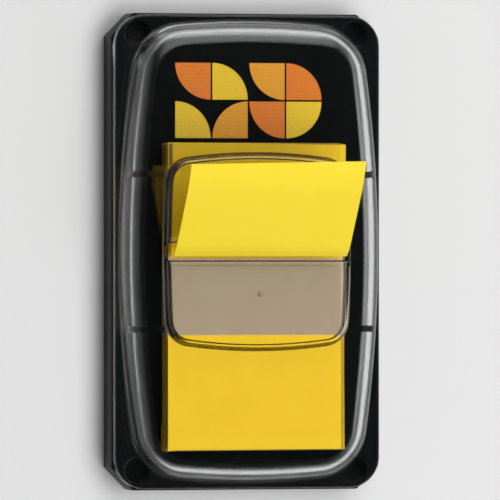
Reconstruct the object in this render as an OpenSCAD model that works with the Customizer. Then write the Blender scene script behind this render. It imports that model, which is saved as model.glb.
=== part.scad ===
// Pop-up dispenser pack of sticky index tabs: a black tray, a clear snap-on cover with a slot,
// a printed card and the pile of film tabs, the first of which stands out of the slot.
// Millimetres. +Z is out of the front, +Y towards the top, and the origin is the middle of the back.

/* [Base tray] */
// Width of the tray
base_w = 39.4; // [37:0.1:46]
// Length of the tray
base_l = 67.5; // [60:0.1:80]
// Height of the tray's rim
base_h = 4.2; // [3.6:0.1:8]
// Size of the cut corners
base_chamfer = 3.2; // [2:0.1:3.6]
// Thickness of the tray's side walls
base_wall = 1.2; // [0.8:0.1:2]
// Thickness of the tray's deck at the rim
deck_t = 1.2; // [0.8:0.1:2]
// Height of the raised floor above the rim
floor_h = 0.8; // [0.4:0.1:1.2]
// Thickness of the ribs behind the deck
rib_t = 1; // [0.6:0.1:2]

/* [Cover] */
// Step from the tray's edge in to the cover's edge
flange_step = 0.2; // [0:0.05:0.6]
// Thickness of the cover's flat flange
flange_t = 1.3; // [0.8:0.1:2]
// Corner radius of the flange
flange_r = 4.4; // [3.6:0.1:5]
// Rounding along the flange's upper edge
flange_edge_r = 0.35; // [0.1:0.05:0.6]
// Thickness of the dome
dome_wall = 1.2; // [0.8:0.1:1.4]
// Height of the dome above the flange
dome_h = 4.7; // [4.6:0.1:8]
// Flange showing beside the dome at its widest
dome_side_gap = 0.55; // [0.4:0.05:1.2]
// Flange showing beyond the dome's ends
dome_end_gap = 0.95; // [0.6:0.05:2]
// Radius of the dome's bowed long sides
dome_side_r = 190; // [150:5:400]
// Radius of the dome's bowed ends
dome_end_r = 120; // [80:5:300]
// Corner radius of the dome
dome_corner_r = 7.6; // [6:0.1:9]
// Radius of the dome's shoulder
shoulder_r = 3.2; // [2:0.1:3.6]
// Lean of the dome's walls over their height
dome_draft = 0.3; // [0.1:0.05:0.6]

/* [Raised window and slot] */
// Rise of the raised window above the dome
window_h = 1.5; // [1.2:0.1:2.5]
// Thickness of the window's roof
window_roof = 0.8; // [0.6:0.05:1]
// Thickness of the window's side walls
window_wall = 0.7; // [0.5:0.05:1]
// Room beside the tabs inside the window
window_gap = 0.25; // [0.2:0.05:0.5]
// Length of the window
window_l = 27.8; // [24:0.1:32]
// Corner radius of the window
window_corner_r = 3.6; // [3:0.1:5]
// Radius of the window's bowed sides
window_side_r = 170; // [100:5:400]
// Radius of the window's bowed ends
window_end_r = 75; // [50:5:200]
// Rounding of the window's upper edge
window_edge_r = 0.55; // [0.3:0.05:0.7]
// Width of the slot
slot_w = 2.4; // [2:0.1:4]
// Reach of the slot's ends past the window's sides
slot_reach = 0.15; // [0.05:0.05:0.4]
// Radius of the round lips of the slot
lip_r = 0.5; // [0.45:0.05:0.7]
// Thickness of the four guide fins
fin_t = 0.9; // [0.6:0.1:1.4]
// Distance of the fins from the slot
fin_y = 10.9; // [6:0.1:13]
// Room between a fin and the tabs
fin_gap = 0.7; // [0.65:0.05:0.9]
// Room between a fin and the card
fin_lift = 0.1; // [0.05:0.05:0.3]
// Diameter of the moulding gate mark
gate_d = 0.7; // [0.4:0.1:1.2]
// Height of the gate mark
gate_h = 0.12; // [0.05:0.01:0.3]
// Distance of the gate mark from the slot
gate_y = 6; // [4:0.1:9]

/* [Corner pegs] */
// Diameter of the cover's pegs
peg_d = 3.6; // [3:0.1:3.8]
// Length of the pegs
peg_l = 2.4; // [1.5:0.1:3]
// Room round a peg in its socket
peg_gap = 0.1; // [0.05:0.05:0.2]
// Distance of the pegs from the tray's long edges
peg_side = 3.7; // [3.4:0.1:4.2]
// Distance of the pegs from the tray's short edges
peg_end = 2.85; // [2.8:0.05:3.4]

/* [Card] */
// Thickness of the printed card
card_t = 0.35; // [0.2:0.05:0.5]
// Room round the card inside the dome
card_gap = 0.3; // [0.2:0.05:0.6]
// Thickness of the printed ink
ink_t = 0.04; // [0.02:0.01:0.08]
// Side of one printed tile
tile = 5.2; // [4:0.1:5.6]
// Gap between printed tiles
tile_gap = 0.25; // [0.1:0.05:0.6]
// Distance from the tray's top edge to the middle of the print
print_end = 12.35; // [11.5:0.05:12.5]

/* [Tabs] */
// Width of a tab
tab_w = 25.4; // [20:0.1:27]
// Length of a tab's coloured end
tab_colour_l = 16.2; // [12:0.1:20]
// Thickness of the film
film_t = 0.066; // [0.05:0.002:0.068]
// Tabs in the pile under the loose top ones
pile_count = 43; // [20:1:43]
// Thickness of the stiff slip under the pile
slip_t = 0.25; // [0.15:0.05:0.3]
// Distance from the tray's bottom edge to the pile
pile_end = 5.8; // [5.6:0.05:8]
// Distance from the tray's top edge to the pile
pile_head = 18.5; // [17.5:0.1:22]
// Greatest sideways shift of the films in the pile
pile_spread = 0.2; // [0:0.05:0.3]
// Greatest turn of the films in the pile, in degrees
pile_twist = 0.25; // [0:0.05:0.4]

/* [Lead tab] */
// Length of the lead tab that lies flat on the pile
lead_flat = 21.2; // [20:0.1:22]
// Length of film that bends up into the slot
lead_rise_l = 5; // [4.5:0.1:5.5]
// Slope of the film in the slot, in degrees
lead_rise = 62; // [56:1:64]
// Place across the slot where the bend ends
lead_slot_y = -0.8; // [-0.8:0.1:0.5]
// Length of film that leans back over
lead_fall_l = 3.4; // [3:0.1:4]
// Slope of the flag after that, in degrees
lead_lean = 37; // [33:1:42]
// Length of the flag's curved tip
lead_tip_l = 5.4; // [3:0.1:7]
// Slope at the very tip, in degrees
lead_tip = 20; // [10:1:36]
// How far the flag's right corner runs ahead of its left
lead_skew = 0.5; // [0:0.1:0.8]

/* [Hidden] */

// How finely the outlines are drawn, in steps along each quarter's side, corner and end
side_steps = 5;
corner_steps = 8;
end_steps = 4;
shoulder_steps = 7;
edge_steps = 3;
bend_steps = 6;
round_fn = 64;
lip_fn = 24;
// Packets of films in the pile, and the tiles of the print
packets = 7;
tile_columns = 4;
tile_rows = 2;
// Angles that spread the packets' shifts and turns over their ranges
spread_phase = 140;
twist_phase = 110;
yellow = [0.96, 0.86, 0.2];
amber = [0.93, 0.66, 0.16];
orange = [0.93, 0.5, 0.13];
inks = [yellow, amber, orange];
clear_film = [0.62, 0.57, 0.48];
// Sideways shift and turn in degrees of the second to the seventh tab
loose_skews = [[-0.1, 0.15], [0.5, -0.4], [0.4, 0.2], [0.3, -0.25], [0.15, 0.1], [-0.05, -0.1]];
// How far one shape reaches into another where they join, and past a face that it cuts
bite = 0.2;
through = 1;

flange_w = base_w - 2 * flange_step;
flange_l = base_l - 2 * flange_step;
flange_top = base_h + flange_t;
dome_top = flange_top + dome_h;
ceiling = dome_top - dome_wall;
window_top = dome_top + window_h;
window_ceiling = window_top - window_roof;
floor_z = base_h + floor_h;
card_z = floor_z + card_t;
pile_z = card_z + slip_t;
tab_l = base_l - pile_end - pile_head;
pile_shift = (pile_head - pile_end) / 2;
print_y = base_l / 2 - print_end;
loose_z = pile_z + pile_count * film_t;
loose_count = 6;
lead_z = loose_z + loose_count * film_t;

// Outlines are given as half width, half length, side radius, end radius and corner radius
dome = [
    flange_w / 2 - dome_side_gap, flange_l / 2 - dome_end_gap,
    dome_side_r, dome_end_r, dome_corner_r
];
window = [
    tab_w / 2 + window_gap + window_wall, window_l / 2,
    window_side_r, window_end_r, window_corner_r
];
slot_l = 2 * (window[0] + slot_reach);
foot_r = 0.35;
window_draft = 0.15;
peg_x = base_w / 2 - peg_side;
peg_y = base_l / 2 - peg_end;

// Where two circles about a and b meet, on the left of the way from a to b
function meet(a, ra, b, rb) =
    let (
        d = norm(b - a),
        along = (ra * ra - rb * rb + d * d) / (2 * d),
        off = sqrt(ra * ra - along * along),
        u = (b - a) / d
    )
    a + along * u + off * [-u[1], u[0]];

// Points along an arc, without its last one
function arc(c, r, from, to, steps) =
    [for (i = [0 : steps - 1]) let (t = from + (to - from) * i / steps) c + r * [cos(t), sin(t)]];

// A quarter of a bowed rectangle moved inwards by d, from the middle of its side to its end
function bowed_quarter(o, d) =
    let (
        side_c = [o[0] - o[2], 0],
        end_c = [0, o[1] - o[3]],
        c = meet(side_c, o[2] - o[4], end_c, o[3] - o[4]),
        start = atan2(c[1] - side_c[1], c[0] - side_c[0]),
        stop = atan2(c[1] - end_c[1], c[0] - end_c[0])
    )
    concat(
        arc(side_c, o[2] - d, 0, start, side_steps),
        arc(c, o[4] - d, start, stop, corner_steps),
        arc(end_c, o[3] - d, stop, 90, end_steps)
    );

// The same points spread round a quarter of a rounded rectangle
function straight_quarter(w, l, r, d) =
    let (c = [w / 2 - r, l / 2 - r])
    concat(
        [for (i = [0 : side_steps - 1]) [w / 2 - d, c[1] * i / side_steps]],
        arc(c, r - d, 0, 90, corner_steps),
        [for (i = [0 : end_steps - 1]) [c[0] * (1 - i / end_steps), l / 2 - d]]
    );

// A whole outline from its first quarter, which starts on the X axis and stops short of the Y axis
function whole(q, top) =
    let (n = len(q))
    concat(
        q,
        [[0, top]],
        [for (i = [n - 1 : -1 : 0]) [-q[i][0], q[i][1]]],
        [for (i = [1 : n - 1]) [-q[i][0], -q[i][1]]],
        [[0, -top]],
        [for (i = [n - 1 : -1 : 1]) [q[i][0], -q[i][1]]]
    );

function bowed(o, d) = whole(bowed_quarter(o, d), o[1] - d);
function plate(w, l, r, d) = whole(straight_quarter(w, l, r, d), l / 2 - d);
function at_height(points, z) = [for (p = points) [p[0], p[1], z]];

// Quarter-round steps as pairs of inset and height, for an edge of radius r that ends at z
function round_over(r, z, steps) =
    [for (i = [0 : steps]) let (t = 90 * i / steps) [r * (1 - cos(t)), z - r + r * sin(t)]];

// The skin of the cover, ring by ring: up the outside, and down the inside
flange_rings = concat(
    [at_height(plate(flange_w, flange_l, flange_r, 0), base_h)],
    [for (s = round_over(flange_edge_r, flange_top, edge_steps))
        at_height(plate(flange_w, flange_l, flange_r, s[0]), s[1])]
);
dome_rings = concat(
    [for (i = [0 : edge_steps]) let (t = 90 * i / edge_steps)
        at_height(bowed(dome, -foot_r * (1 - sin(t))), flange_top + foot_r * (1 - cos(t)))],
    [for (s = round_over(shoulder_r, dome_top, shoulder_steps))
        at_height(bowed(dome, dome_draft + s[0]), s[1])]
);
window_rings = concat(
    [at_height(bowed(window, -foot_r / 2), dome_top), at_height(bowed(window, 0), dome_top + foot_r / 2)],
    [for (s = round_over(window_edge_r, window_top, edge_steps))
        at_height(bowed(window, window_draft + s[0]), s[1])]
);
cavity_rings = concat(
    [at_height(bowed(dome, dome_wall), base_h - through), at_height(bowed(dome, dome_wall), flange_top)],
    [for (s = round_over(shoulder_r - dome_wall, ceiling, shoulder_steps))
        at_height(bowed(dome, dome_draft + dome_wall + s[0]), s[1])],
    [at_height(bowed(window, window_wall), ceiling)],
    [for (s = round_over(window_edge_r / 2, window_ceiling, edge_steps))
        at_height(bowed(window, window_wall + s[0]), s[1])]
);

// A solid inside a list of rings that climb, with its first and last ring capped
module skin(rings) {
    n = len(rings[0]);
    m = len(rings);
    points = [for (r = rings) for (p = r) p];
    walls = [for (k = [0 : m - 2]) for (i = [0 : n - 1])
        let (a = k * n + i, b = k * n + (i + 1) % n)
        each [[a, a + n, b], [b, a + n, b + n]]];
    caps = [[for (i = [0 : n - 1]) i], [for (i = [n - 1 : -1 : 0]) (m - 1) * n + i]];
    polyhedron(points = points, faces = concat(walls, caps), convexity = 8);
}

module at_corners(x, y) {
    for (sx = [-1, 1]) {
        for (sy = [-1, 1]) {
            translate([sx * x, sy * y, 0]) children();
        }
    }
}

module cut_corner_plate(w, l, c) {
    polygon([
        [w / 2, -l / 2 + c], [w / 2, l / 2 - c], [w / 2 - c, l / 2], [-w / 2 + c, l / 2],
        [-w / 2, l / 2 - c], [-w / 2, -l / 2 + c], [-w / 2 + c, -l / 2], [w / 2 - c, -l / 2]
    ]);
}

module base_tray() {
    socket_d = peg_d + 2 * peg_gap;
    inner_chamfer = base_chamfer - base_wall * (2 - sqrt(2));
    rib_ys = [-fin_y, 0, fin_y];
    color([0.03, 0.035, 0.035])
    difference() {
        union() {
            linear_extrude(base_h) cut_corner_plate(base_w, base_l, base_chamfer);
            translate([0, 0, base_h - bite])
                linear_extrude(floor_h + bite) polygon(bowed(dome, dome_wall + card_gap));
        }
        translate([0, 0, -through])
            linear_extrude(base_h - deck_t + through)
            difference() {
                cut_corner_plate(base_w - 2 * base_wall, base_l - 2 * base_wall, inner_chamfer);
                at_corners(peg_x, peg_y) circle(d = socket_d + 2 * base_wall, $fn = round_fn);
                square([rib_t, base_l], center = true);
                for (y = rib_ys) translate([0, y]) square([base_w, rib_t], center = true);
            }
        at_corners(peg_x, peg_y)
            translate([0, 0, base_h - peg_l - peg_gap])
            cylinder(d = socket_d, h = peg_l + peg_gap + through, $fn = round_fn);
    }
}

// The moulded shell with its slot, lips and fins, true to the flange's width and length
module cover_shell() {
    wall_x = dome[0] - dome_wall / 2;
    fin_in = tab_w / 2 + fin_gap;
    fin_low = card_z + fin_lift;
    slot_cut = slot_w / 2 + lip_r;
    resize([flange_w, flange_l, 0])
    union() {
        difference() {
            skin(concat(flange_rings, dome_rings, window_rings));
            skin(cavity_rings);
            translate([0, 0, dome_top - bite])
                linear_extrude(window_h + through)
                for (s = [-1, 0, 1]) {
                    if (s == 0) square([slot_l - 2 * slot_cut, 2 * slot_cut], center = true);
                    else translate([s * (slot_l / 2 - slot_cut), 0]) circle(r = slot_cut, $fn = lip_fn);
                }
        }
        for (s = [-1, 1]) {
            translate([0, s * slot_cut, window_top - window_roof / 2])
                rotate([0, 90, 0])
                cylinder(r = lip_r, h = tab_w + 2 * window_gap + window_wall, center = true, $fn = lip_fn);
            for (y = [-fin_y, fin_y]) {
                intersection() {
                    translate([s > 0 ? fin_in : -wall_x, y - fin_t / 2, fin_low])
                        cube([wall_x - fin_in, fin_t, ceiling + bite - fin_low]);
                    skin(dome_rings);
                }
            }
        }
    }
}

module cover() {
    color([0.86, 0.88, 0.9, 0.35]) {
        cover_shell();
        at_corners(peg_x, peg_y)
            translate([0, 0, base_h - peg_l])
            cylinder(d = peg_d, h = peg_l + bite, $fn = round_fn);
        translate([0, -gate_y, window_top - bite])
            cylinder(d = gate_d, h = bite + gate_h, $fn = round_fn);
    }
}

// One printed tile: a quarter disc in its square
module quarter_disc() {
    translate([-tile / 2, -tile / 2])
        intersection() {
            circle(r = tile, $fn = round_fn);
            square(tile);
        }
}

// The printed tiles of one colour, or of all with no colour given
module print_tiles(colour) {
    for (i = [0 : tile_columns - 1]) {
        for (j = [0 : tile_rows - 1]) {
            if (is_undef(colour) || (i + 2 * j) % len(inks) == colour) {
                translate([
                    (i - (tile_columns - 1) / 2) * (tile + tile_gap),
                    print_y + (j - (tile_rows - 1) / 2) * (tile + tile_gap)
                ]) rotate(90 * (i + 2 * j + i * j)) quarter_disc();
            }
        }
    }
}

module ink(colour) {
    color(inks[colour])
        translate([0, 0, card_z - ink_t])
        linear_extrude(ink_t) print_tiles(colour);
}

// The card has a shallow bed for each ink, so that the pile slides over a flat face
module insert_card() {
    color([0.05, 0.05, 0.05])
    difference() {
        translate([0, 0, floor_z])
            linear_extrude(card_t) polygon(bowed(dome, dome_wall + card_gap));
        translate([0, 0, card_z - ink_t])
            linear_extrude(ink_t + through) print_tiles();
    }
}

module pile_slip() {
    color([0.93, 0.92, 0.87])
        translate([-tab_w / 2, -pile_shift - tab_l / 2, card_z])
        cube([tab_w, tab_l, slip_t]);
}

// A strip of film from y to y_end
module strip(y, y_end, h) {
    x = tab_w / 2;
    linear_extrude(h) polygon([[-x, y], [x, y], [x, y_end], [-x, y_end]]);
}

// Films of one outline, count deep: a coloured end, up for +1 and down for -1, and a clear end
module film(count, end) {
    seam = end * (tab_l / 2 - tab_colour_l);
    color(yellow) strip(seam, end * tab_l / 2, count * film_t);
    color(clear_film) strip(-end * tab_l / 2, seam, count * film_t);
}

// A flat film in its place over the card: shifted, turned a little and at height z
module lying_tab(z, shift, turn, count, end) {
    translate([shift, -pile_shift, z]) rotate(turn) film(count, end);
}

// The pile is a run of packets of films that lie a little out of line with each other
module tab_pile() {
    for (i = [0 : packets - 1]) {
        from = floor(pile_count * i / packets);
        to = floor(pile_count * (i + 1) / packets);
        lying_tab(
            pile_z + from * film_t, pile_spread * sin(i * spread_phase), pile_twist * cos(i * twist_phase),
            to - from, i % 2 == 0 ? 1 : -1
        );
    }
}

// The loose tabs are numbered from the top, where the lead tab is the first
module loose_tab(number) {
    skew = loose_skews[number - 2];
    lying_tab(
        loose_z + (loose_count + 1 - number) * film_t, skew[0], skew[1], 1,
        number % 2 == 0 ? -1 : 1
    );
}

// A film's course as [y, z, heading] stations, from steps of [length, turn] after the first point
function course(p, steps, i = 0) =
    i == len(steps) ? [p] :
    let (h = p[2] + steps[i][1] / 2, l = steps[i][0])
    concat([p], course([p[0] + l * cos(h), p[1] + l * sin(h), p[2] + steps[i][1]], steps, i + 1));

// The lead tab lies on the pile, climbs through the slot and leans over towards the top
lead_steps = concat(
    [[lead_flat, 0]],
    [for (i = [1 : bend_steps]) [lead_rise_l / bend_steps, lead_rise / bend_steps]],
    [for (i = [1 : bend_steps]) [lead_fall_l / bend_steps, (lead_lean - lead_rise) / bend_steps]],
    [[tab_l - lead_flat - lead_rise_l - lead_fall_l - lead_tip_l, 0]],
    [for (i = [1 : bend_steps]) [lead_tip_l / bend_steps, (lead_tip - lead_lean) / bend_steps]]
);
lead_start = lead_slot_y - lead_flat - lead_rise_l * cos(lead_rise / 2);

// A film's cross-section at a station, with its right side skew further along the film than its middle
function film_section(p, skew) =
    let (
        up = film_t * [-sin(p[2]), cos(p[2])],
        right = [p[0], p[1]] + skew * [cos(p[2]), sin(p[2])],
        left = [p[0], p[1]] - skew * [cos(p[2]), sin(p[2])],
        x = tab_w / 2
    )
    [
        [x, right[0] + up[0], right[1] + up[1]], [x, right[0], right[1]],
        [-x, left[0], left[1]], [-x, left[0] + up[0], left[1] + up[1]]
    ];

// The film leaves the slot square to it, and turns a little towards its tip
module lead_tab() {
    stations = course([lead_start, lead_z, 0], lead_steps);
    flag_y = stations[len(stations) - 1][0] - lead_slot_y;
    color(yellow)
        skin([for (p = stations) film_section(p, lead_skew / 2 * max(0, p[0] - lead_slot_y) / flag_y)]);
}

base_tray();
cover();
insert_card();
ink(0);  // card_print_yellow
ink(1);  // card_print_amber
ink(2);  // card_print_orange
pile_slip();
tab_pile();
loose_tab(7);  // tab_07
loose_tab(6);  // tab_06
loose_tab(5);  // tab_05
loose_tab(4);  // tab_04
loose_tab(3);  // tab_03
loose_tab(2);  // tab_02
lead_tab();
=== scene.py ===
import math

import bmesh
import bpy
from mathutils import Matrix, Vector


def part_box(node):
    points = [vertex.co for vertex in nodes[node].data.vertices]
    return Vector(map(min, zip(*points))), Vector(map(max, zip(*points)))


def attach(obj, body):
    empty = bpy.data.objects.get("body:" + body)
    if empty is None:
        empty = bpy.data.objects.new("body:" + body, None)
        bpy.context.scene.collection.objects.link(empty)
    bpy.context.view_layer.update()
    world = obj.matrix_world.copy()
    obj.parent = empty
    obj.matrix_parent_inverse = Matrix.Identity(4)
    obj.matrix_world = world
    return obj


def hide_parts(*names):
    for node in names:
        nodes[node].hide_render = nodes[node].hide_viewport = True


# A pop-up pack of sticky index tabs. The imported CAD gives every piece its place. Here the clear
# cover is drawn again with finer rings, the tray gets softened edges, the pile is laid up film by
# film, and each surface gets the finish of its real material.

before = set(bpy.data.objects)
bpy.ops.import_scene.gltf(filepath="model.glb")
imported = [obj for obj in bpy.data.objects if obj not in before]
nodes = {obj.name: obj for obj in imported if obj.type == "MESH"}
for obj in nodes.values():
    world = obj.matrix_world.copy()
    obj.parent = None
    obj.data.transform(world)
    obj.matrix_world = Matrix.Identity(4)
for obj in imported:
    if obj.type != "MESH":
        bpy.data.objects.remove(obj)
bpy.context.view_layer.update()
scene = bpy.context.scene
MM = 0.001
MERGE_DISTANCE = 0.001 * MM  # corners of a CAD mesh that are nearer than this are one
FLAT_ANGLE = math.radians(1)  # faces of a CAD mesh that turn by less than this are one


# Helpers for colours, nodes and meshes


def linear(code):
    """The linear RGBA colour of an sRGB hex code such as 'F6DE3E'."""
    parts = [int(code[i : i + 2], 16) / 255 for i in (0, 2, 4)]
    return (*[c / 12.92 if c <= 0.04045 else ((c + 0.055) / 1.055) ** 2.4 for c in parts], 1.0)


def add(tree, kind, inputs=None, **settings):
    """Adds a node with its settings. An input is linked if it is given a socket, and set if not."""
    made = tree.nodes.new(kind)
    for name, value in settings.items():
        setattr(made, name, value)
    for name, value in (inputs or {}).items():
        if isinstance(value, bpy.types.NodeSocket):
            tree.links.new(value, made.inputs[name])
        else:
            made.inputs[name].default_value = value
    return made


def ramp(tree, value, start, stop, least=0.0, most=1.0):
    """A socket that goes from least to most while value goes from start to stop."""
    inputs = {"Value": value, "From Min": start, "From Max": stop, "To Min": least, "To Max": most}
    return add(tree, "ShaderNodeMapRange", inputs).outputs["Result"]


def blend(tree, share, first, second, **settings):
    """A colour socket that goes from first to second while share goes from 0 to 1."""
    inputs = {0: share, 6: first, 7: second}
    return add(tree, "ShaderNodeMix", inputs, data_type="RGBA", **settings).outputs[2]


def maths(tree, operation, *values):
    """A socket with what an operation makes of its values."""
    return add(tree, "ShaderNodeMath", dict(enumerate(values)), operation=operation).outputs["Value"]


def split(tree, vector):
    """The sockets of a vector's X, Y and Z, found by those names."""
    return add(tree, "ShaderNodeSeparateXYZ", {"Vector": vector}).outputs


def noise(tree, place, size, detail):
    """A socket with noise in blots of about size millimetres."""
    inputs = {"Vector": place, "Scale": 1 / size, "Detail": detail}
    return add(tree, "ShaderNodeTexNoise", inputs).outputs["Fac"]


def bump(tree, height, strength, depth):
    """A normal socket for the relief of a height socket, depth millimetres deep."""
    inputs = {"Height": height, "Strength": strength, "Distance": depth * MM}
    return add(tree, "ShaderNodeBump", inputs).outputs["Normal"]


def new_material(name):
    """An empty material with the position on the object, in millimetres, as its first node."""
    made = bpy.data.materials.new(name)
    made.use_nodes = True
    made.node_tree.nodes.clear()
    tree = made.node_tree
    place = add(tree, "ShaderNodeTexCoord").outputs["Object"]
    scaled = add(tree, "ShaderNodeVectorMath", {0: place, "Scale": 1 / MM}, operation="SCALE")
    return made, tree, scaled.outputs["Vector"]


def wear(piece, *materials):
    """Gives a piece its materials in place of any that it has."""
    piece.data.materials.clear()
    for material in materials:
        piece.data.materials.append(material)


def shade(mesh, angle):
    """Smooth shading that keeps each edge sharper than angle, in degrees, as a crease."""
    work = bmesh.new()
    work.from_mesh(mesh)
    limit = math.radians(angle)
    for face in work.faces:
        face.smooth = True
    for edge in work.edges:
        edge.smooth = len(edge.link_faces) == 2 and edge.calc_face_angle(0) < limit
    work.to_mesh(mesh)
    work.free()


def placed(name, mesh):
    """An object with this mesh, at the origin of the scene."""
    piece = bpy.data.objects.new(name, mesh)
    scene.collection.objects.link(piece)
    return piece


def cleaned(node):
    """A working copy of a CAD node's mesh, with its flat faces whole instead of in triangles."""
    work = bmesh.new()
    work.from_mesh(nodes[node].data)
    bmesh.ops.remove_doubles(work, verts=work.verts, dist=MERGE_DISTANCE)
    bmesh.ops.dissolve_limit(work, angle_limit=FLAT_ANGLE, verts=work.verts, edges=work.edges)
    return work


def placed_work(name, work):
    """An object with the mesh of a working copy, which it frees."""
    mesh = bpy.data.meshes.new(name)
    work.to_mesh(mesh)
    work.free()
    return placed(name, mesh)


def new_piece(name, points, faces, slot_name, *materials):
    """An object at the origin from points in millimetres. slot_name is not used."""
    mesh = bpy.data.meshes.new(name)
    mesh.from_pydata([[c * MM for c in p] for p in points], [], faces)
    mesh.validate()
    piece = placed(name, mesh)
    wear(piece, *materials)
    return piece


def baked(piece):
    """Turns what the piece's modifiers make into its own mesh, and removes them."""
    graph = bpy.context.evaluated_depsgraph_get()
    graph.update()
    made = bpy.data.meshes.new_from_object(piece.evaluated_get(graph), depsgraph=graph)
    piece.modifiers.clear()
    piece.data = made
    return piece


def combined(piece, tool, operation):
    """Cuts, joins or keeps the overlap of piece and tool, and removes the tool."""
    step = piece.modifiers.new("combine", "BOOLEAN")
    step.operation, step.solver, step.object = operation, "MANIFOLD", tool
    baked(piece)
    bpy.data.objects.remove(tool)
    return piece


# Sizes of the cover in millimetres, as in the part's source

RIM = 4.2  # height of the tray's rim, which the flange lies on
FLANGE_W, FLANGE_L, FLANGE_TOP, FLANGE_R, FLANGE_EDGE = 39.0, 67.1, 5.5, 4.4, 0.35
DOME_TOP, DOME_WALL, SHOULDER, DRAFT, FOOT = 10.2, 1.2, 3.2, 0.3, 0.35
# Half the width and length of an outline, and the radius of its sides, ends and corners
DOME = (18.95, 32.6, 190.0, 120.0, 7.6)
WINDOW = (13.65, 13.9, 170.0, 75.0, 3.6)
WINDOW_TOP, WINDOW_ROOF, WINDOW_WALL, WINDOW_EDGE, WINDOW_DRAFT = 11.7, 0.8, 0.7, 0.55, 0.15
SLOT_W, SLOT_L, LIP_R, LIP_L = 2.4, 27.6, 0.5, 26.6
FIN_T, FIN_Y, FIN_IN, FIN_LOW, FIN_OUT = 0.9, 10.9, 13.4, 5.45, 18.35
PEG_D, PEG_L, PEG_X, PEG_Y = 3.6, 2.4, 16.0, 30.9
GATE_D, GATE_H, GATE_Y = 0.7, 0.12, 6.0
# The gate mark's rings: their radius as a share of GATE_D, and their height as a share of GATE_H
GATE_RINGS = ((0.5, -0.2), (0.5, 0.0), (0.33, 1.0), (0.27, 1.0), (0.05, 0.85))
CEILING, WINDOW_CEILING = DOME_TOP - DOME_WALL, WINDOW_TOP - WINDOW_ROOF
HAIR = 0.01  # pieces that touch are drawn this far apart, so that light finds each face
SUNK = 0.2  # how far a part that is joined on reaches into its neighbour
PAST = 1.0  # how far a cutting tool runs past what it cuts
SIDE_STEPS, CORNER_STEPS, END_STEPS, SHOULDER_STEPS, EDGE_STEPS = 12, 16, 10, 16, 6
FLANGE_STEPS, SLOT_STEPS, GATE_SIDES, LIP_SIDES, PEG_SIDES = 4, 16, 32, 32, 48
COVER_CREASE, CREASE = 32, 40  # edges sharper than this, in degrees, stay sharp


def meet(a, ra, b, rb):
    """Where two circles meet, on the left of the way from a to b."""
    dx, dy = b[0] - a[0], b[1] - a[1]
    d = math.hypot(dx, dy)
    along = (ra * ra - rb * rb + d * d) / (2 * d)
    off = math.sqrt(ra * ra - along * along)
    return a[0] + (along * dx - off * dy) / d, a[1] + (along * dy + off * dx) / d


def arc(centre, r, start, stop, steps):
    """Points along an arc, without its last one. Angles are in degrees."""
    turns = [math.radians(start + (stop - start) * i / steps) for i in range(steps)]
    return [(centre[0] + r * math.cos(t), centre[1] + r * math.sin(t)) for t in turns]


def whole(quarter, top):
    """A whole outline from the quarter that runs from the X axis to just before the Y axis."""
    left = [(-x, y) for x, y in reversed(quarter)]
    low = [(-x, -y) for x, y in quarter[1:]]
    right = [(x, -y) for x, y in reversed(quarter[1:])]
    return [*quarter, (0, top), *left, *low, (0, -top), *right]


def bowed(outline, inset):
    """The outline of a rectangle with bowed sides and round corners, moved inwards."""
    half_w, half_l, side_r, end_r, corner_r = outline
    side, end = (half_w - side_r, 0), (0, half_l - end_r)
    c = meet(side, side_r - corner_r, end, end_r - corner_r)
    start = math.degrees(math.atan2(c[1] - side[1], c[0] - side[0]))
    stop = math.degrees(math.atan2(c[1] - end[1], c[0] - end[0]))
    quarter = [
        *arc(side, side_r - inset, 0, start, SIDE_STEPS),
        *arc(c, corner_r - inset, start, stop, CORNER_STEPS),
        *arc(end, end_r - inset, stop, 90, END_STEPS),
    ]
    return whole(quarter, half_l - inset)


def plate(w, l, r, inset):
    """The outline of a plain rounded rectangle, moved inwards, with as many points."""
    x, y = w / 2 - r, l / 2 - r
    quarter = [
        *[(w / 2 - inset, y * i / SIDE_STEPS) for i in range(SIDE_STEPS)],
        *arc((x, y), r - inset, 0, 90, CORNER_STEPS),
        *[(x * (1 - i / END_STEPS), l / 2 - inset) for i in range(END_STEPS)],
    ]
    return whole(quarter, l / 2 - inset)


def round_over(r, top, steps):
    """Pairs of inset and height along a quarter-round edge that ends at top."""
    turns = [math.pi / 2 * i / steps for i in range(steps + 1)]
    return [(r * (1 - math.cos(t)), top - r + r * math.sin(t)) for t in turns]


def skinned(name, rings):
    """A closed mesh over rings of points that climb. A ring is an outline and its height."""
    n = len(rings[0][0])
    points = [(x, y, z) for outline, z in rings for x, y in outline]
    faces = [list(reversed(range(n))), list(range(len(points) - n, len(points)))]
    for k in range(len(rings) - 1):
        for i in range(n):
            a, b = k * n + i, k * n + (i + 1) % n
            faces.append([a, b, b + n, a + n])
    return new_piece(name, points, faces, None)


def rod(name, centre, r, length, axis, sides):
    """A closed round rod from centre along axis, which is 0 for X and 2 for Z."""
    ring = [2 * math.pi * i / sides for i in range(sides)]
    spots = [(r * math.cos(t), r * math.sin(t)) for t in ring]
    order = (lambda u, v, w: (w, u, v)) if axis == 0 else (lambda u, v, w: (u, v, w))
    points = [order(u, v, w) for w in (0, length) for u, v in spots]
    points = [tuple(c + p for c, p in zip(centre, spot, strict=True)) for spot in points]
    faces = [list(reversed(range(sides))), list(range(sides, 2 * sides))]
    faces += [[i, (i + 1) % sides, (i + 1) % sides + sides, i + sides] for i in range(sides)]
    return new_piece(name, points, faces, None)


def block(name, low, high):
    """A closed box from its lowest to its highest corner."""
    ring = [(low[0], low[1]), (high[0], low[1]), (high[0], high[1]), (low[0], high[1])]
    return skinned(name, [(ring, low[2]), (ring, high[2])])


# The clear cover: one moulding with its flange, dome, raised window, slot, fins and pegs


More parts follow.
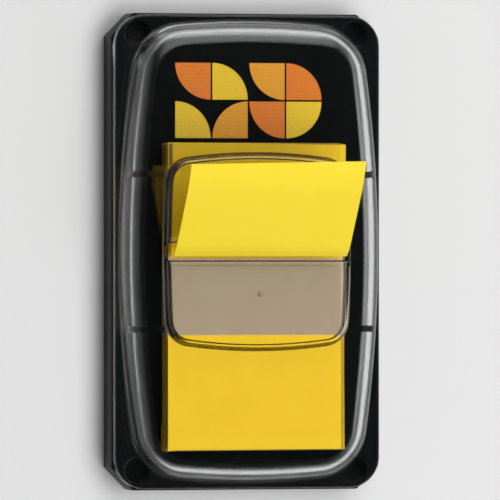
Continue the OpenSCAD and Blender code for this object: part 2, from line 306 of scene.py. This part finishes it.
def dome_rings():
    """The outside of the dome, from its foot on the flange to its flat top."""
    foot = [math.pi / 2 * i / EDGE_STEPS for i in range(EDGE_STEPS + 1)]
    return [
        *[(bowed(DOME, FOOT * (math.sin(t) - 1)), FLANGE_TOP + FOOT * (1 - math.cos(t))) for t in foot],
        *[(bowed(DOME, DRAFT + s), z) for s, z in round_over(SHOULDER, DOME_TOP, SHOULDER_STEPS)],
    ]


def gate_mark():
    """The broken stub where the plastic came in: a low ring with a pit."""
    turns = [2 * math.pi * i / GATE_SIDES for i in range(GATE_SIDES)]
    rings = []
    for r, h in GATE_RINGS:
        ring = [(GATE_D * r * math.cos(t), GATE_D * r * math.sin(t) - GATE_Y) for t in turns]
        rings.append((ring, WINDOW_TOP + h * GATE_H))
    return skinned("gate", rings)


def moulded_cover():
    """Builds the cover's mesh in the same steps as the part's source, with finer rings."""
    flange = round_over(FLANGE_EDGE, FLANGE_TOP, FLANGE_STEPS)
    edge = round_over(WINDOW_EDGE, WINDOW_TOP, EDGE_STEPS)
    shoulder = round_over(SHOULDER - DOME_WALL, CEILING, SHOULDER_STEPS)
    fillet = round_over(WINDOW_EDGE / 2, WINDOW_CEILING, EDGE_STEPS)
    outside = [
        (plate(FLANGE_W, FLANGE_L, FLANGE_R, 0), RIM + HAIR),
        *[(plate(FLANGE_W, FLANGE_L, FLANGE_R, s), z) for s, z in flange],
        *dome_rings(),
        (bowed(WINDOW, -FOOT / 2), DOME_TOP),
        (bowed(WINDOW, 0), DOME_TOP + FOOT / 2),
        *[(bowed(WINDOW, WINDOW_DRAFT + s), z) for s, z in edge],
    ]
    inside = [
        (bowed(DOME, DOME_WALL), RIM - PAST),
        (bowed(DOME, DOME_WALL), FLANGE_TOP),
        *[(bowed(DOME, DRAFT + DOME_WALL + s), z) for s, z in shoulder],
        (bowed(WINDOW, WINDOW_WALL), CEILING),
        *[(bowed(WINDOW, WINDOW_WALL + s), z) for s, z in fillet],
    ]
    cover = combined(skinned("moulded_cover", outside), skinned("cavity", inside), "DIFFERENCE")
    reach = SLOT_W / 2 + LIP_R
    end = SLOT_L / 2 - reach
    cut = [
        *arc((end, 0), reach, -90, 90, SLOT_STEPS), (end, reach),
        *arc((-end, 0), reach, 90, 270, SLOT_STEPS), (-end, -reach),
    ]
    slot = skinned("slot", [(cut, DOME_TOP - SUNK), (cut, WINDOW_TOP + PAST)])
    cover = combined(cover, slot, "DIFFERENCE")
    for side in (-1, 1):
        lip_start = (-LIP_L / 2, side * reach, WINDOW_TOP - WINDOW_ROOF / 2)
        lip = rod("lip", lip_start, LIP_R, LIP_L, 0, LIP_SIDES)
        cover = combined(cover, lip, "UNION")
        for y in (-FIN_Y, FIN_Y):
            low, high = (FIN_IN, FIN_OUT) if side > 0 else (-FIN_OUT, -FIN_IN)
            fin = block("fin", (low, y - FIN_T / 2, FIN_LOW), (high, y + FIN_T / 2, CEILING + SUNK))
            fin = combined(fin, skinned("limit", dome_rings()), "INTERSECT")
            cover = combined(cover, fin, "UNION")
        for y in (-PEG_Y, PEG_Y):
            peg_start = (side * PEG_X, y, RIM - PEG_L)
            peg = rod("peg", peg_start, PEG_D / 2, PEG_L + SUNK, 2, PEG_SIDES)
            cover = combined(cover, peg, "UNION")
    cover = combined(cover, gate_mark(), "UNION")
    shade(cover.data, COVER_CREASE)
    return cover


# Materials

BELOW_TOP, ABOVE_TOP = 0.04, 0.02  # the shoulder ends and the window starts so near the dome's top
# WALL_BEND picks the steep walls above the dome's top that get a painted shade
SHOULDER_BEND, WALL_BEND = (0.995, 0.94), (0.93, 0.8)  # how upright the normals there are
SHOULDER_ROUGHNESS = 0.18


def clear_polystyrene():
    """Crystal-clear polystyrene from a polished mould: bright highlights along each bend and dark
    refracted lines beside them. Faint flow waves of about 9 mm keep the flat parts from looking
    like ground glass, and hairline rubs of about 0.4 mm break up the gloss. The deep shoulder of
    the mould is less polished than its flats, so the highlights there are soft. The window's steep
    little walls, its slot and the gate mark are painted a dark smoky colour, a painted shade for
    the dark lines that their bends refract."""
    made, tree, place = new_material("clear_polystyrene_polished_mould")
    waves = noise(tree, place, 9.0, 1.0)
    rubs = noise(tree, place, 0.4, 3.0)
    gloss = ramp(tree, rubs, 0.45, 0.75, 0.015, 0.06)
    facing = split(tree, add(tree, "ShaderNodeNewGeometry").outputs["Normal"])
    flat = maths(tree, "ABSOLUTE", facing["Z"])
    curve = ramp(tree, flat, *SHOULDER_BEND)
    height = split(tree, place)
    low = maths(tree, "LESS_THAN", height["Z"], DOME_TOP - BELOW_TOP)
    high = maths(tree, "GREATER_THAN", height["Z"], DOME_TOP + ABOVE_TOP)
    # Painted shade: steep walls above the dome's top, the slot and the gate mark are coloured dark,
    # standing in for the dark lines that their bends refract
    steep = ramp(tree, flat, *WALL_BEND)
    lines = maths(tree, "MULTIPLY", steep, high)
    tint_and_painted_shade = blend(tree, lines, linear("FBFCFC"), linear("3A352C"))
    shoulder = maths(tree, "MULTIPLY", curve, low)
    rough = maths(tree, "MULTIPLY_ADD", shoulder, SHOULDER_ROUGHNESS, gloss)
    lie = bump(tree, waves, 0.25, 0.05)
    body = add(
        tree, "ShaderNodeBsdfPrincipled",
        {
            "Base Color": tint_and_painted_shade, "Transmission Weight": 1.0, "IOR": 1.59,
            "Roughness": rough, "Normal": lie,
        },
    )
    # Lamps and bounced light pass straight through, so that what lies inside isn't left dark
    rays = add(tree, "ShaderNodeLightPath")
    soft = maths(tree, "MAXIMUM", rays.outputs["Is Shadow Ray"], rays.outputs["Is Diffuse Ray"])
    through = add(tree, "ShaderNodeBsdfTransparent", {"Color": linear("FAFBFB")})
    both = add(
        tree, "ShaderNodeMixShader",
        {0: soft, 1: body.outputs["BSDF"], 2: through.outputs["BSDF"]},
    )
    add(tree, "ShaderNodeOutputMaterial", {"Surface": both.outputs["Shader"]})
    return made


def black_polystyrene():
    """Black high-impact polystyrene, moulded with a fine spark-eroded grain of about 0.25 mm: deep
    black that turns a little grey along lit edges, with a soft sheen and a few paler rubs."""
    made, tree, place = new_material("black_polystyrene_moulded_grain")
    grain = noise(tree, place, 0.25, 2.0)
    rubs = noise(tree, place, 5.0, 5.0)
    tone = blend(tree, rubs, linear("060909"), linear("0D1011"))
    gloss = ramp(tree, rubs, 0.3, 0.7, 0.3, 0.42)
    lie = bump(tree, grain, 0.35, 0.03)
    body = add(
        tree, "ShaderNodeBsdfPrincipled",
        {
            "Base Color": tone, "IOR": 1.59, "Specular IOR Level": 0.12,
            "Roughness": gloss, "Normal": lie,
        },
    )
    add(tree, "ShaderNodeOutputMaterial", {"Surface": body.outputs["BSDF"]})
    return made


def black_card():
    """Coated card printed solid black: a flat, deep black with a faint fibre tooth of about
    0.3 mm under the ink, and a slightly uneven varnish."""
    made, tree, place = new_material("black_coated_card")
    tooth = noise(tree, place, 0.3, 4.0)
    varnish = noise(tree, place, 3.0, 2.0)
    tone = blend(tree, tooth, linear("040607"), linear("0A0D0D"))
    gloss = ramp(tree, varnish, 0.3, 0.7, 0.3, 0.42)
    lie = bump(tree, tooth, 0.3, 0.02)
    body = add(
        tree, "ShaderNodeBsdfPrincipled",
        {
            "Base Color": tone, "IOR": 1.5, "Specular IOR Level": 0.15,
            "Roughness": gloss, "Normal": lie,
        },
    )
    add(tree, "ShaderNodeOutputMaterial", {"Surface": body.outputs["BSDF"]})
    return made


def printed_ink(name, full, thin):
    """Offset ink on coated card: even colour with the rosette of its dots just showing. Real dots
    stand 0.17 mm apart, which the render can't show, so they are drawn 0.4 mm apart."""
    made, tree, place = new_material(name)
    dots = add(tree, "ShaderNodeTexVoronoi", {"Vector": place, "Scale": 1 / 0.4, "Randomness": 0.15})
    spread = ramp(tree, dots.outputs["Distance"], 0.25, 0.65)
    tone = blend(tree, spread, linear(full), linear(thin))
    lie = bump(tree, dots.outputs["Distance"], 0.15, 0.01)
    body = add(
        tree, "ShaderNodeBsdfPrincipled",
        {
            "Base Color": tone, "IOR": 1.5, "Specular IOR Level": 0.2, "Roughness": 0.38,
            "Normal": lie,
        },
    )
    add(tree, "ShaderNodeOutputMaterial", {"Surface": body.outputs["BSDF"]})
    return made


def slip_card():
    """Uncoated pale card of the stiff slip: warm white with short fibres of about 0.5 mm."""
    made, tree, place = new_material("pale_uncoated_card")
    fibres = noise(tree, place, 0.5, 5.0)
    tone = blend(tree, fibres, linear("CFC8B4"), linear("EAE5D6"))
    lie = bump(tree, fibres, 0.4, 0.03)
    body = add(
        tree, "ShaderNodeBsdfPrincipled",
        {"Base Color": tone, "IOR": 1.45, "Roughness": 0.8, "Normal": lie},
    )
    add(tree, "ShaderNodeOutputMaterial", {"Surface": body.outputs["BSDF"]})
    return made


# The tabs' films. A film is coloured along 16.2 mm at one end, and clear along the rest.

PILE_LOW, PILE_HIGH = -27.95, 15.25
TAB_W, TAB_L = 25.4, PILE_HIGH - PILE_LOW
COLOUR_L, FILM_T, PILE_COUNT = 16.2, 0.066, 43
SEAM_UP, SEAM_DOWN = PILE_HIGH - COLOUR_L, PILE_LOW + COLOUR_L
SEAM_BLUR = 0.06  # the ink fades over this far on each side of the seam
# Beyond PALE_END the clear film's pale tone turns to a painted brown shade
PALE_END, BROWN_START = 5.3, 6.2  # the clear film turns brown so far from between the seams
DRAWN_T, PILE_SHIFT, PILE_TURN = 0.058, 0.14, 0.2  # a piled film, and how far it strays and turns
SHIFT_SEED, TURN_SEED = 3, 8
FLAG_GLOW = 0.14  # share of the light on the flag that comes through it


def film_tones(tree, along, place):
    """The film's colours with their slight mottle, and the coloured share along its length. The
    clear film looks pale where only clear film lies on it and under it. Elsewhere it is painted
    brown: the yellow of the coloured ends that shows through, darkened by a painted shade under
    them. along is how far a point is past the seam, in millimetres, on the coloured side."""
    mottle = noise(tree, place, 4.0, 3.0)
    share = ramp(tree, along, -SEAM_BLUR, SEAM_BLUR)
    yellow = blend(tree, mottle, linear("EBC114"), linear("F1CA19"))
    pale = blend(tree, mottle, linear("BDAE9A"), linear("C8BAA7"))
    across = split(tree, place)
    centred = maths(tree, "ADD", across["Y"], -(SEAM_UP + SEAM_DOWN) / 2)
    off = maths(tree, "ABSOLUTE", centred)
    # Painted shade: brown where coloured ends lie over or under the clear film, with their yellow showing
    # through
    painted_shade_share = ramp(tree, off, PALE_END, BROWN_START)
    clear = blend(tree, painted_shade_share, pale, linear("94742E"))
    tone = blend(tree, share, clear, yellow)
    return tone, share


def film_plastic(tree, place, tone):
    """Matt polypropylene, brushed to take ink: satin, with a fine tooth of about 0.2 mm."""
    tooth = noise(tree, place, 0.2, 2.0)
    lie = bump(tree, tooth, 0.2, 0.01)
    body = add(
        tree, "ShaderNodeBsdfPrincipled",
        {
            "Base Color": tone, "IOR": 1.49, "Specular IOR Level": 0.25, "Roughness": 0.48,
            "Normal": lie,
        },
    )
    return body.outputs["BSDF"]


def see_through_end(tree, share, least, clear_colour, surface):
    """The surface where share is 1, and clear film, of which only least shows, where it is 0."""
    clear = add(tree, "ShaderNodeBsdfTransparent", {"Color": linear(clear_colour)})
    solid = ramp(tree, share, 0.0, 1.0, least, 1.0)
    inputs = {0: solid, 1: clear.outputs["BSDF"], 2: surface}
    return add(tree, "ShaderNodeMixShader", inputs).outputs["Shader"]


def matt_film(name, end, see_through=False, solid_share=0.01):
    """The film of a loose tab. end is +1 where the coloured end lies towards the top and -1 where
    it lies towards the bottom. The clear end of the uppermost films lets what lies under it show."""
    made, tree, place = new_material(name)
    across = split(tree, place)
    seam = SEAM_UP if end > 0 else SEAM_DOWN
    past = maths(tree, "MULTIPLY_ADD", across["Y"], end, -end * seam)
    tone, share = film_tones(tree, past, place)
    surface = film_plastic(tree, place, tone)
    if see_through:
        surface = see_through_end(tree, share, solid_share, "FDFCFA", surface)
    add(tree, "ShaderNodeOutputMaterial", {"Surface": surface})
    return made


def piled_film():
    """The films of the pile, whose coloured ends take turns. Their cut edges are painted darker
    than their faces: a painted shade for the dimmer light on their upright sides, and for the
    light that sinks into a stack of clear film. The mesh says which way each lies."""
    made, tree, place = new_material("piled_matt_film")
    across = split(tree, place)
    turned = add(tree, "ShaderNodeAttribute", attribute_name="turned").outputs["Fac"]
    up = maths(tree, "SUBTRACT", across["Y"], SEAM_UP)
    down = maths(tree, "SUBTRACT", SEAM_DOWN, across["Y"])
    past = add(tree, "ShaderNodeMix", {0: turned, 2: up, 3: down}, data_type="FLOAT")
    tone, _ = film_tones(tree, past.outputs[0], place)
    facing = split(tree, add(tree, "ShaderNodeNewGeometry").outputs["Normal"])
    # Painted shade: the films' upright cut sides are darkened, partly for the dimmer light they get and
    # partly for light sinking into the stack
    rim = maths(tree, "LESS_THAN", facing["Z"], 0.5)
    edge = blend(tree, rim, tone, linear("8A6F38"), blend_type="MULTIPLY")
    body = add(
        tree, "ShaderNodeBsdfPrincipled", {"Base Color": edge, "IOR": 1.49, "Roughness": 0.5},
    )
    add(tree, "ShaderNodeOutputMaterial", {"Surface": body.outputs["BSDF"]})
    return made


def flag_film():
    """The lead tab's film. Its coloured flag is painted a brighter yellow than the pile, a painted
    light for the light it stands in, and light also comes through it. Its map gives the share of
    its width and of its length."""
    made, tree, place = new_material("standing_matt_film")
    mapped = split(tree, add(tree, "ShaderNodeTexCoord").outputs["UV"])
    past = maths(tree, "MULTIPLY_ADD", mapped["Y"], TAB_L, COLOUR_L - TAB_L)
    _, share = film_tones(tree, past, place)
    mottle = noise(tree, place, 5.0, 2.0)
    # Painted light: the standing flag's yellow is brighter than the same film's yellow in the pile
    yellow = blend(tree, mottle, linear("F9DE34"), linear("FCE542"))
    tone = blend(tree, share, linear("C2B4A0"), yellow)
    body = film_plastic(tree, place, tone)
    glow = add(tree, "ShaderNodeBsdfTranslucent", {"Color": tone})
    lit = add(tree, "ShaderNodeMixShader", {0: FLAG_GLOW, 1: body, 2: glow.outputs["BSDF"]})
    surface = see_through_end(tree, share, 0.005, "FFFEFC", lit.outputs["Shader"])
    add(tree, "ShaderNodeOutputMaterial", {"Surface": surface})
    return made


# Pieces

TRAY_EDGE, TRAY_EDGE_STEPS, TRAY_EDGE_ANGLE = 0.12, 2, 35


def softened_tray():
    """The tray with its sharp edges rounded a little, as a mould leaves them."""
    tray = placed_work("moulded_tray", cleaned("base_tray"))
    step = tray.modifiers.new("edges", "BEVEL")
    step.width, step.segments, step.limit_method = TRAY_EDGE * MM, TRAY_EDGE_STEPS, "ANGLE"
    step.angle_limit = math.radians(TRAY_EDGE_ANGLE)
    baked(tray)
    shade(tray.data, CREASE)
    wear(tray, black_polystyrene())
    return tray


def film_pile_tree():
    """Geometry nodes that stack films: each is shifted and turned a little, and every second one
    lies the other way round."""
    tree = bpy.data.node_groups.new("film_pile", "GeometryNodeTree")
    inputs = (
        ("Count", "NodeSocketInt", PILE_COUNT), ("Spacing", "NodeSocketFloat", FILM_T * MM),
        ("Width", "NodeSocketFloat", TAB_W * MM), ("Length", "NodeSocketFloat", TAB_L * MM),
        ("Film", "NodeSocketFloat", DRAWN_T * MM), ("Shift", "NodeSocketFloat", PILE_SHIFT * MM),
        ("Turn", "NodeSocketFloat", math.radians(PILE_TURN)), ("Material", "NodeSocketMaterial", None),
    )
    for name, kind, value in inputs:
        made = tree.interface.new_socket(name, in_out="INPUT", socket_type=kind)
        if value is not None:
            made.default_value = value
    tree.interface.new_socket("Geometry", in_out="OUTPUT", socket_type="NodeSocketGeometry")
    given = add(tree, "NodeGroupInput").outputs
    sides = {"X": given["Width"], "Y": given["Length"], "Z": given["Film"]}
    size = add(tree, "ShaderNodeCombineXYZ", sides)
    film = add(tree, "GeometryNodeMeshCube", {"Size": size.outputs[0]})
    step = add(tree, "ShaderNodeCombineXYZ", {"Z": given["Spacing"]})
    line = add(
        tree, "GeometryNodeMeshLine", {"Count": given["Count"], "Offset": step.outputs[0]}, mode="OFFSET",
    )
    less = maths(tree, "MULTIPLY", given["Shift"], -1.0)
    low = add(tree, "ShaderNodeCombineXYZ", {"X": less, "Y": less})
    high = add(tree, "ShaderNodeCombineXYZ", {"X": given["Shift"], "Y": given["Shift"]})
    shift = add(
        tree, "FunctionNodeRandomValue", {0: low.outputs[0], 1: high.outputs[0], "Seed": SHIFT_SEED},
        data_type="FLOAT_VECTOR",
    )
    moved = add(
        tree, "GeometryNodeSetPosition", {"Geometry": line.outputs["Mesh"], "Offset": shift.outputs[0]},
    )
    back = maths(tree, "MULTIPLY", given["Turn"], -1.0)
    least = add(tree, "ShaderNodeCombineXYZ", {"Z": back})
    most = add(tree, "ShaderNodeCombineXYZ", {"Z": given["Turn"]})
    turn = add(
        tree, "FunctionNodeRandomValue", {0: least.outputs[0], 1: most.outputs[0], "Seed": TURN_SEED},
        data_type="FLOAT_VECTOR",
    )
    index = add(tree, "GeometryNodeInputIndex")
    parity = maths(tree, "MODULO", index.outputs[0], 2.0)
    marked = add(
        tree, "GeometryNodeStoreNamedAttribute",
        {"Geometry": moved.outputs[0], "Name": "turned", "Value": parity},
        data_type="FLOAT", domain="POINT",
    )
    laid = add(
        tree, "GeometryNodeInstanceOnPoints",
        {"Points": marked.outputs[0], "Instance": film.outputs["Mesh"], "Rotation": turn.outputs[0]},
    )
    real = add(tree, "GeometryNodeRealizeInstances", {"Geometry": laid.outputs[0]})
    finish = add(
        tree, "GeometryNodeSetMaterial", {"Geometry": real.outputs[0], "Material": given["Material"]},
    )
    add(tree, "NodeGroupOutput", {"Geometry": finish.outputs[0]})
    return tree


def film_pile():
    """The pile of films, laid up where the CAD pile lies."""
    low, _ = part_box("tab_pile")
    material = piled_film()
    pile = placed("film_pile", bpy.data.meshes.new("film_pile"))
    step = pile.modifiers.new("pile", "NODES")
    step.node_group = film_pile_tree()
    keys = {item.name: item.identifier for item in step.node_group.interface.items_tree}
    step[keys["Material"]] = material
    baked(pile)
    middle = Vector((0, (PILE_LOW + PILE_HIGH) / 2 * MM, low.z + FILM_T / 2 * MM))
    pile.data.transform(Matrix.Translation(middle))
    wear(pile, material)
    return pile


# The lead tab's course: how far it lies flat and where it comes through the slot, the length of
# each bend after that, and the slope that each bend ends with, in degrees
LEAD_FLAT, LEAD_SLOT_Y = 21.2, -0.8
LEAD_RISE_L, LEAD_FALL_L, LEAD_TIP_L = 5.0, 3.4, 5.4
LEAD_RISE, LEAD_LEAN, LEAD_TIP = 62.0, 37.0, 20.0
LEAD_SKEW, LEAD_COLUMNS = 0.5, 6  # how far the right side is ahead of the left, and faces across


def lead_course():
    """Stations along the lead tab as y, z, slope in degrees and length so far, in millimetres."""
    start = LEAD_SLOT_Y - LEAD_FLAT - LEAD_RISE_L * math.cos(math.radians(LEAD_RISE / 2))
    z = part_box("lead_tab")[0].z / MM
    rest = TAB_L - LEAD_FLAT - LEAD_RISE_L - LEAD_FALL_L - LEAD_TIP_L
    stretches = (
        # Length, how far it turns in degrees, and steps
        (LEAD_FLAT, 0.0, 12), (LEAD_RISE_L, LEAD_RISE, 18), (LEAD_FALL_L, LEAD_LEAN - LEAD_RISE, 12),
        (rest, 0.0, 8), (LEAD_TIP_L, LEAD_TIP - LEAD_LEAN, 12),
    )
    stations = [(start, z, 0.0, 0.0)]
    for length, turn, steps in stretches:
        for _ in range(steps):
            y, z, slope, so_far = stations[-1]
            heading = math.radians(slope + turn / steps / 2)
            step = length / steps
            stations.append((
                y + step * math.cos(heading), z + step * math.sin(heading),
                slope + turn / steps, so_far + step,
            ))
    return stations


def loose_film(number, material):
    """One of the tabs under the lead tab, a hair thinner than in the CAD so that air gets between."""
    node = f"tab_0{number}"
    work = cleaned(node)
    low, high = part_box(node)
    for corner in work.verts:
        if corner.co.z > (low.z + high.z) / 2:
            corner.co.z -= 2 * HAIR * MM
    film = placed_work(f"film_0{number}", work)
    wear(film, material)
    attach(film, "root")
    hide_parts(node)
    return film


def lead_film():
    """The lead tab as one thin closed strip, mapped across and along."""
    stations = lead_course()
    total, flag_y = stations[-1][3], stations[-1][0] - LEAD_SLOT_Y
    points, spots = [], []
    for side in (0, 1):
        for y, z, slope, so_far in stations:
            t = math.radians(slope)
            for i in range(LEAD_COLUMNS + 1):
                u = i / LEAD_COLUMNS
                ahead = (u - 0.5) * LEAD_SKEW * max(0, y - LEAD_SLOT_Y) / flag_y
                points.append((
                    (u - 0.5) * TAB_W,
                    y + ahead * math.cos(t) - side * FILM_T * math.sin(t),
                    z + ahead * math.sin(t) + side * FILM_T * math.cos(t),
                ))
                spots.append((u, so_far / total))
    row, rows = LEAD_COLUMNS + 1, len(stations)
    faces = []
    for k in range(rows - 1):
        for i in range(LEAD_COLUMNS):
            a = k * row + i
            b = a + row * rows
            faces += [[a, a + row, a + row + 1, a + 1], [b, b + 1, b + row + 1, b + row]]
        for i, flip in ((0, False), (LEAD_COLUMNS, True)):
            a = k * row + i
            wall = [a, a + row * rows, a + row + row * rows, a + row]
            faces.append(wall[::-1] if flip else wall)
    for k, flip in ((0, False), (rows - 1, True)):
        for i in range(LEAD_COLUMNS):
            a = k * row + i
            wall = [a, a + 1, a + 1 + row * rows, a + row * rows]
            faces.append(wall[::-1] if flip else wall)
    film = new_piece("lead_film", points, faces, "lead_film", flag_film())
    layer = film.data.uv_layers.new(name="length_map")
    for loop in film.data.loops:
        layer.data[loop.index].uv = spots[loop.vertex_index]
    shade(film.data, CREASE)
    return film


# The camera looks down on the front from a little to the left, from far off

YAW, DISTANCE = math.radians(16), 1.2  # the distance is in metres
LENS, SENSOR = 607, 36  # focal length and width of the sensor, in millimetres
AIM_RIGHT, AIM_UP = 1.81, 0.24  # how far the picture's middle is from the object's


def place_camera():
    """A long lens over the front, with the object in the frame as in the photograph."""
    right = Vector((math.cos(YAW), 0, math.sin(YAW)))
    up = Vector((0, 1, 0))
    back = right.cross(up)
    turn = Matrix((right, up, back)).transposed().to_4x4()
    data = bpy.data.cameras.new("long_lens")
    data.lens, data.sensor_width = LENS, SENSOR
    data.clip_start, data.clip_end = 0.05, 20
    camera = bpy.data.objects.new("long_lens", data)
    aim = right * AIM_RIGHT * MM + up * AIM_UP * MM
    camera.matrix_world = Matrix.Translation(aim + back * DISTANCE) @ turn
    scene.collection.objects.link(camera)
    scene.camera = camera


def softbox(name, tilt, azimuth, distance, width, height, radiance, **sight):
    """A flat lamp aimed at the object, in metres. tilt is from straight overhead and azimuth from
    +X, in degrees. sight says which rays don't see it."""
    t, a = math.radians(tilt), math.radians(azimuth)
    out = Vector((math.sin(t) * math.cos(a), math.sin(t) * math.sin(a), math.cos(t)))
    data = bpy.data.lights.new(name, "AREA")
    data.shape, data.size, data.size_y = "RECTANGLE", width, height
    data.energy = radiance * math.pi * width * height
    lamp = bpy.data.objects.new(name, data)
    facing_in = out.to_track_quat("Z", "Y").to_matrix().to_4x4()
    lamp.matrix_world = Matrix.Translation(out * distance) @ facing_in
    scene.collection.objects.link(lamp)
    lamp.visible_camera = False
    for key, value in sight.items():
        setattr(lamp, key, value)
    return lamp


FLOOR_HALF, FLOOR_Z = 2000, -0.02  # half the floor's width, and its height, in millimetres
STRIP_Y, STRIP_Z = 70, 4  # where two small strips lie beside the ends and shine upwards
# Name, tilt, azimuth, distance, width, height and radiance of the lamps that reflections don't show
FILLS = (
    ("overhead", 22, 0, 0.7, 0.5, 0.5, 3.4),
    ("front_fill", 36, 290, 0.7, 0.5, 0.5, 3.5),
    ("back_fill", 42, 75, 0.7, 0.5, 0.5, 2.6),
)


def studio():
    """A pale sweep under the object, a dark ceiling and soft lamps low down on each side."""
    scene.view_settings.view_transform = "Standard"
    world = bpy.data.worlds.new("studio")
    world.use_nodes = True
    tree = world.node_tree
    tree.nodes.clear()
    ways = split(tree, add(tree, "ShaderNodeTexCoord").outputs["Generated"])
    level = ramp(tree, ways["Z"], 0.0, 0.3, 0.12, 0.01)
    glow = add(tree, "ShaderNodeBackground", {"Color": linear("FFFFFF"), "Strength": level})
    add(tree, "ShaderNodeOutputWorld", {"Surface": glow.outputs[0]})
    scene.world = world

    made, tree, place = new_material("pale_paper_sweep")
    tooth = noise(tree, place, 1.5, 2.0)
    lie = bump(tree, tooth, 0.1, 0.05)
    paper = add(tree, "ShaderNodeBsdfDiffuse", {"Color": linear("D4D4D4"), "Normal": lie})
    add(tree, "ShaderNodeOutputMaterial", {"Surface": paper.outputs["BSDF"]})
    quarters = ((-1, -1), (1, -1), (1, 1), (-1, 1))
    corners = [(x * FLOOR_HALF, y * FLOOR_HALF, FLOOR_Z) for x, y in quarters]
    new_piece("sweep", corners, [[0, 1, 2, 3]], None, made)

    for fill in FILLS:
        softbox(*fill, visible_glossy=False, visible_transmission=False)
    softbox("top_left_box", 48, 86, 0.6, 0.56, 0.44, 1.2, visible_diffuse=False)
    softbox("right_box", 54, 4, 0.5, 1.0, 0.36, 0.35)
    softbox("left_box", 66, 180, 0.5, 0.7, 0.16, 0.5)
    for name, y in (("top_strip", STRIP_Y), ("bottom_strip", -STRIP_Y)):
        strip = softbox(name, 0, 0, 0, 0.06, 0.03, 0.6, visible_diffuse=False)
        upwards = Matrix.Rotation(math.pi, 4, "X")
        strip.matrix_world = Matrix.Translation((0, y * MM, STRIP_Z * MM)) @ upwards


place_camera()
studio()

tray = softened_tray()
cover = moulded_cover()
wear(cover, clear_polystyrene())
cover.visible_shadow = False
pile = film_pile()
lead = lead_film()
for piece, node in ((tray, "base_tray"), (cover, "cover"), (pile, "tab_pile"), (lead, "lead_tab")):
    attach(piece, "root")
    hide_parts(node)

wear(nodes["insert_card"], black_card())
wear(nodes["card_print_yellow"], printed_ink("yellow_offset_ink", "F0CE2A", "E0B422"))
wear(nodes["card_print_amber"], printed_ink("amber_offset_ink", "E9A52A", "D88E1E"))
wear(nodes["card_print_orange"], printed_ink("orange_offset_ink", "E88424", "D4701C"))
wear(nodes["pile_slip"], slip_card())
film_up = matt_film("matt_film_coloured_up", 1)
film_down = matt_film("matt_film_coloured_down", -1)
for number in range(4, 8):
    loose_film(number, film_up if number % 2 else film_down)
# The top tabs show what lies below their clear ends, and throw no shadow there
loose_film(3, matt_film("third_matt_film", 1, True, 0.3)).visible_shadow = False
loose_film(2, matt_film("second_matt_film", -1, True)).visible_shadow = False
